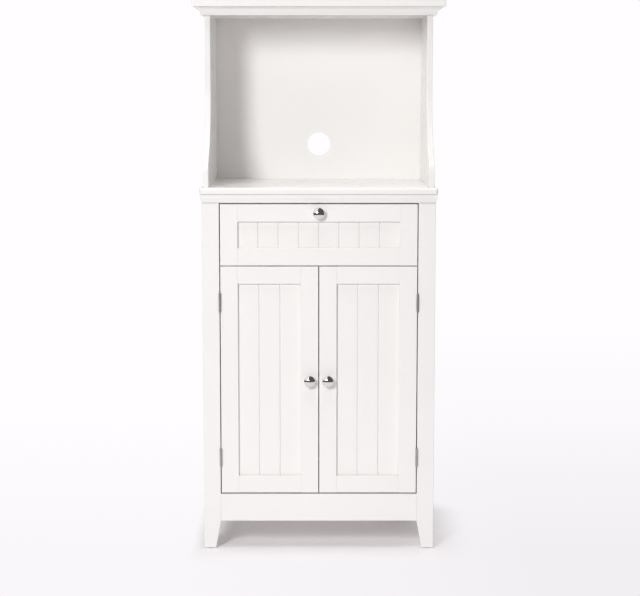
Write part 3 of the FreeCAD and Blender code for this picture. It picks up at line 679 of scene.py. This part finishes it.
@dataclass
class Studio:
    """Pale floor, white background, one soft key light from the front left, and the camera."""

    camera_place: Point = (0.0034, -4.8845, 1.301)
    camera_pitch: float = 7.23
    camera_lens: float = 96.58
    floor_half: float = 30.0
    floor_colour: str = "F7F4F7"
    far_colour: str = "FFFDFF"
    near_colour: str = "FAF7FA"
    near_from: float = 1.6
    near_to: float = -0.2
    # Painted shade of the floor's white towards the right and the front.
    side_from: float = -0.4
    side_to: float = 0.6
    side_far: float = 4.0
    side_near: float = -0.2
    side_painted_shade: float = 0.072
    shaded_within: float = 2.5
    white_beyond: float = 9.0
    # Where white is painted over the stand's shadow on the floor.
    footprint: Point = (0.25, 0.19, 0.0)
    fade_from: float = 0.0
    fade_to: float = 0.2
    left_from: float = -0.31
    left_to: float = -0.36
    ambient: float = 0.11
    floor_glow: float = 0.1
    glow_colour: str = "FFF9F2"
    lights: tuple[SoftLight, ...] = (
        SoftLight("key_light", (-1.5, -3.81, 2.25), (0.1, -0.1, 0.5), (0.87, 1.3), 100.0, True, 28.7),
        SoftLight("top_light", (0.0, -0.6, 4.0), (0.0, -0.1, 1.0), (3.0, 3.0), 180.0, False, 67.0),
        SoftLight("front_fill", (0.7, -4.8, 1.7), (0.0, 0.0, 0.8), (2.4, 2.4), 180.0, False, 16.4),
        SoftLight("back_light", (2.6, 3.6, 2.0), (0.0, 0.0, 0.8), (2.4, 2.4), 180.0, False, 38.0),
    )
    # Painted reflections of a dark studio, seen only in the chrome and other glossy surfaces; they give the
    # knobs their dark quarter.
    screens: tuple[DarkScreen, ...] = (
        DarkScreen("right_screen", ((2.2, 0.01), (6.0, 0.01), (6.0, 5.0), (0.3, 5.0)), (-17.0, 130.0), 0.105),
        DarkScreen("left_screen", ((2.2, 0.01), (6.0, 0.01), (6.0, 1.4)), (-120.0, -17.0), 0.1),
    )

    def build(self) -> None:
        """Builds the floor, the background, the lights, the screens and the camera."""
        self.floor()
        self.background()
        for light in self.lights:
            light.hang()
        for screen in self.screens:
            screen.stand()
        self.camera()

    def seen(self, tree: bpy.types.NodeTree) -> bpy.types.NodeSocket:
        """1 where the camera sees a surface, straight, mirrored or through something, and 0 elsewhere."""
        path = add_node(tree, "ShaderNodeLightPath")
        mirrored = add_node(tree, "ShaderNodeMath", {"operation": "MAXIMUM"},
                            value=path.outputs["Is Camera Ray"], value_001=path.outputs["Is Glossy Ray"])
        through = add_node(tree, "ShaderNodeMath", {"operation": "MAXIMUM"}, value=mirrored.outputs["Value"],
                           value_001=path.outputs["Is Transmission Ray"])
        return through.outputs["Value"]

    def paper_white(self, tree: bpy.types.NodeTree, at: bpy.types.NodeSocket) -> bpy.types.Node:
        """White that the floor turns to: full far away, with a painted shade, a little darker in front and
        more at the right.

        Args:
            tree: The floor's nodes.
            at: Place on the floor.

        Returns:
            The emission node.
        """
        place = add_node(tree, "ShaderNodeSeparateXYZ", vector=at)
        radius = add_node(tree, "ShaderNodeVectorMath", {"operation": "LENGTH"}, vector=at)
        shaded = add_node(tree, "ShaderNodeMapRange", value=radius.outputs["Value"],
                          from_min=self.shaded_within, from_max=self.white_beyond, to_min=1.0, to_max=0.0)
        near = add_node(tree, "ShaderNodeMapRange", value=place.outputs["Y"], from_min=self.near_from,
                        from_max=self.near_to, to_max=shaded.outputs["Result"])
        # Painted shade: the white dims towards the right, more so towards the front.
        side = add_node(tree, "ShaderNodeMapRange", value=place.outputs["X"], from_min=self.side_from,
                        from_max=self.side_to)
        depth = add_node(tree, "ShaderNodeMapRange", value=place.outputs["Y"], from_min=self.side_far,
                         from_max=self.side_near, to_max=-self.side_painted_shade)
        dimmed = add_node(tree, "ShaderNodeMath", {"operation": "MULTIPLY"}, value=depth.outputs["Result"],
                          value_001=shaded.outputs["Result"])
        level = add_node(tree, "ShaderNodeMath", {"operation": "MULTIPLY_ADD"}, value=side.outputs["Result"],
                         value_001=dimmed.outputs["Value"], value_002=1.0)
        colour = add_node(tree, "ShaderNodeMix", {"data_type": "RGBA"}, factor_float=near.outputs["Result"],
                          a_color=linear(self.far_colour), b_color=linear(self.near_colour))
        return add_node(tree, "ShaderNodeEmission", color=colour.outputs[MIXED_COLOUR],
                        strength=level.outputs["Value"])

    def floor(self) -> None:
        """Lays a pale floor that turns to the background's white away from the stand."""
        mesh = bmesh.new()
        bmesh.ops.create_grid(mesh, x_segments=1, y_segments=1, size=self.floor_half)
        plane = finished(mesh, "studio_floor")
        material = bpy.data.materials.new("studio_paper")
        material.use_nodes = True
        tree = material.node_tree
        tree.nodes.clear()
        at = add_node(tree, "ShaderNodeTexCoord").outputs["Object"]
        # Painted light: outside the footprint, and at once left of the left leg, the camera and polished
        # surfaces see white emission mixed in over the stand's shadow, which lifts that shadow beside the
        # right leg and covers it further out.
        either_side = add_node(tree, "ShaderNodeVectorMath", {"operation": "ABSOLUTE"}, vector=at)
        past = add_node(tree, "ShaderNodeVectorMath", {"operation": "SUBTRACT"},
                        vector=either_side.outputs["Vector"], vector_001=self.footprint)
        outside = add_node(tree, "ShaderNodeVectorMath", {"operation": "MAXIMUM"},
                           vector=past.outputs["Vector"], vector_001=(0.0, 0.0, 0.0))
        distance = add_node(tree, "ShaderNodeVectorMath", {"operation": "LENGTH"},
                            vector=outside.outputs["Vector"])
        fade = add_node(tree, "ShaderNodeMapRange", {"interpolation_type": "SMOOTHSTEP"},
                        value=distance.outputs["Value"], from_min=self.fade_from, from_max=self.fade_to)
        across = add_node(tree, "ShaderNodeSeparateXYZ", vector=at).outputs["X"]
        left = add_node(tree, "ShaderNodeMapRange", {"interpolation_type": "SMOOTHSTEP"}, value=across,
                        from_min=self.left_from, from_max=self.left_to)
        away = add_node(tree, "ShaderNodeMath", {"operation": "MAXIMUM"}, value=fade.outputs["Result"],
                        value_001=left.outputs["Result"])
        white = add_node(tree, "ShaderNodeMath", {"operation": "MULTIPLY"}, value=away.outputs["Value"],
                         value_001=self.seen(tree))
        paper = add_node(tree, "ShaderNodeBsdfDiffuse", color=linear(self.floor_colour))
        lift = add_node(tree, "ShaderNodeEmission", color=linear(self.glow_colour),
                        strength=self.floor_glow)
        lit = add_node(tree, "ShaderNodeAddShader", shader=paper.outputs["BSDF"],
                       shader_001=lift.outputs["Emission"])
        blend = add_node(tree, "ShaderNodeMixShader", fac=white.outputs["Value"],
                         shader=lit.outputs["Shader"],
                         shader_001=self.paper_white(tree, at).outputs["Emission"])
        add_node(tree, "ShaderNodeOutputMaterial", surface=blend.outputs["Shader"])
        plane.data.materials.append(material)

    def background(self) -> None:
        """Makes the world white where it is seen or mirrored, and a soft grey where it lights the stand."""
        world = bpy.data.worlds.new("studio_world")
        bpy.context.scene.world = world
        world.use_nodes = True
        tree = world.node_tree
        tree.nodes.clear()
        level = add_node(tree, "ShaderNodeMapRange", value=self.seen(tree), to_min=self.ambient, to_max=1.0)
        sky = add_node(tree, "ShaderNodeBackground", color=linear(self.far_colour),
                       strength=level.outputs["Result"])
        add_node(tree, "ShaderNodeOutputWorld", surface=sky.outputs["Background"])

    def camera(self) -> None:
        """Sets up the camera."""
        lens = bpy.data.cameras.new("camera")
        lens.lens = self.camera_lens
        lens.sensor_width = 36.0
        lens.sensor_fit = "HORIZONTAL"
        holder = bpy.data.objects.new("camera", lens)
        holder.location = self.camera_place
        holder.rotation_euler = (math.radians(90 - self.camera_pitch), 0.0, 0.0)
        bpy.context.scene.collection.objects.link(holder)
        bpy.context.scene.camera = holder


def main() -> None:
    """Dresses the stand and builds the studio."""
    logging.basicConfig(level=logging.INFO, format="%(name)s: %(message)s")
    bpy.context.scene.view_settings.view_transform = "Standard"
    palette = Palette()
    doors = [Door(palette, side) for side in ("left", "right")]
    for part in (Cabinet(palette), Hutch(palette), *doors, Drawer(palette)):
        part.dress()
        LOG.info("dressed %s", type(part).__name__)
    Studio().build()


if __name__ == "__main__":
    main()
